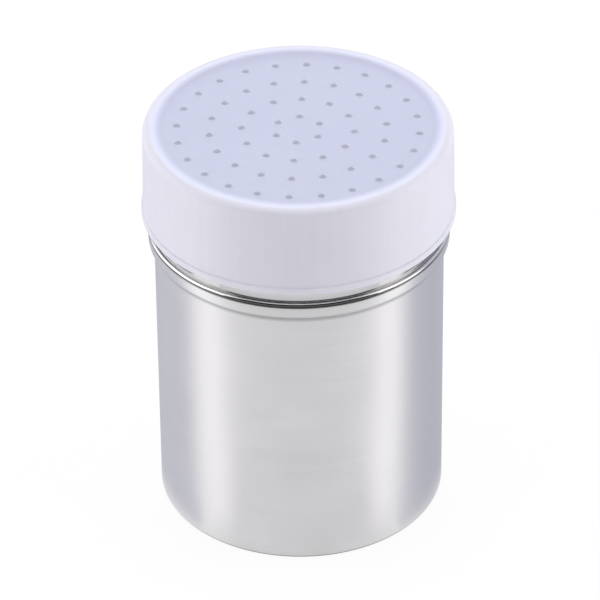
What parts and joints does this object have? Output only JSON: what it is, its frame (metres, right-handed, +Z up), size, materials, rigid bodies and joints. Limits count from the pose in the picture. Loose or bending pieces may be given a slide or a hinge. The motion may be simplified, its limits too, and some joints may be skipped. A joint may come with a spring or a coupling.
{
  "type": "spice shaker",
  "caption": "Round steel spice shaker: brushed cylindrical body with a stop ring, screw-on perforated steel lid with a curled hem, and a translucent press-on dust cover.",
  "frame": {"origin": "centre of the flat ring under the base, on the surface that the shaker stands on", "axes": "+Z up along the shaker's axis, from the base to the perforated lid; +X to the right and +Y away from a person who faces it"},
  "size_m": [0.0704, 0.0704, 0.096],
  "materials": {
    "brushed_steel": "stainless steel, fine satin brushing round the axis",
    "polished_steel": "stainless steel, bright polished",
    "frosted_polyethylene": "translucent frosted polyethylene with a soft sheen"
  },
  "bodies": {
    "body": {"shaker_body": "brushed_steel"},
    "lid": {"perforated_lid": "polished_steel"},
    "cover": {"dust_cover": "frosted_polyethylene"}
  },
  "joints": [
    {"name": "lid_lift", "type": "slide", "parent": "body", "child": "lid", "axis": [0, 0, 1], "range_m": [0, 0.028]},
    {"name": "cover_lift", "type": "slide", "parent": "lid", "child": "cover", "axis": [0, 0, 1], "range_m": [0, 0.03]}
  ]
}
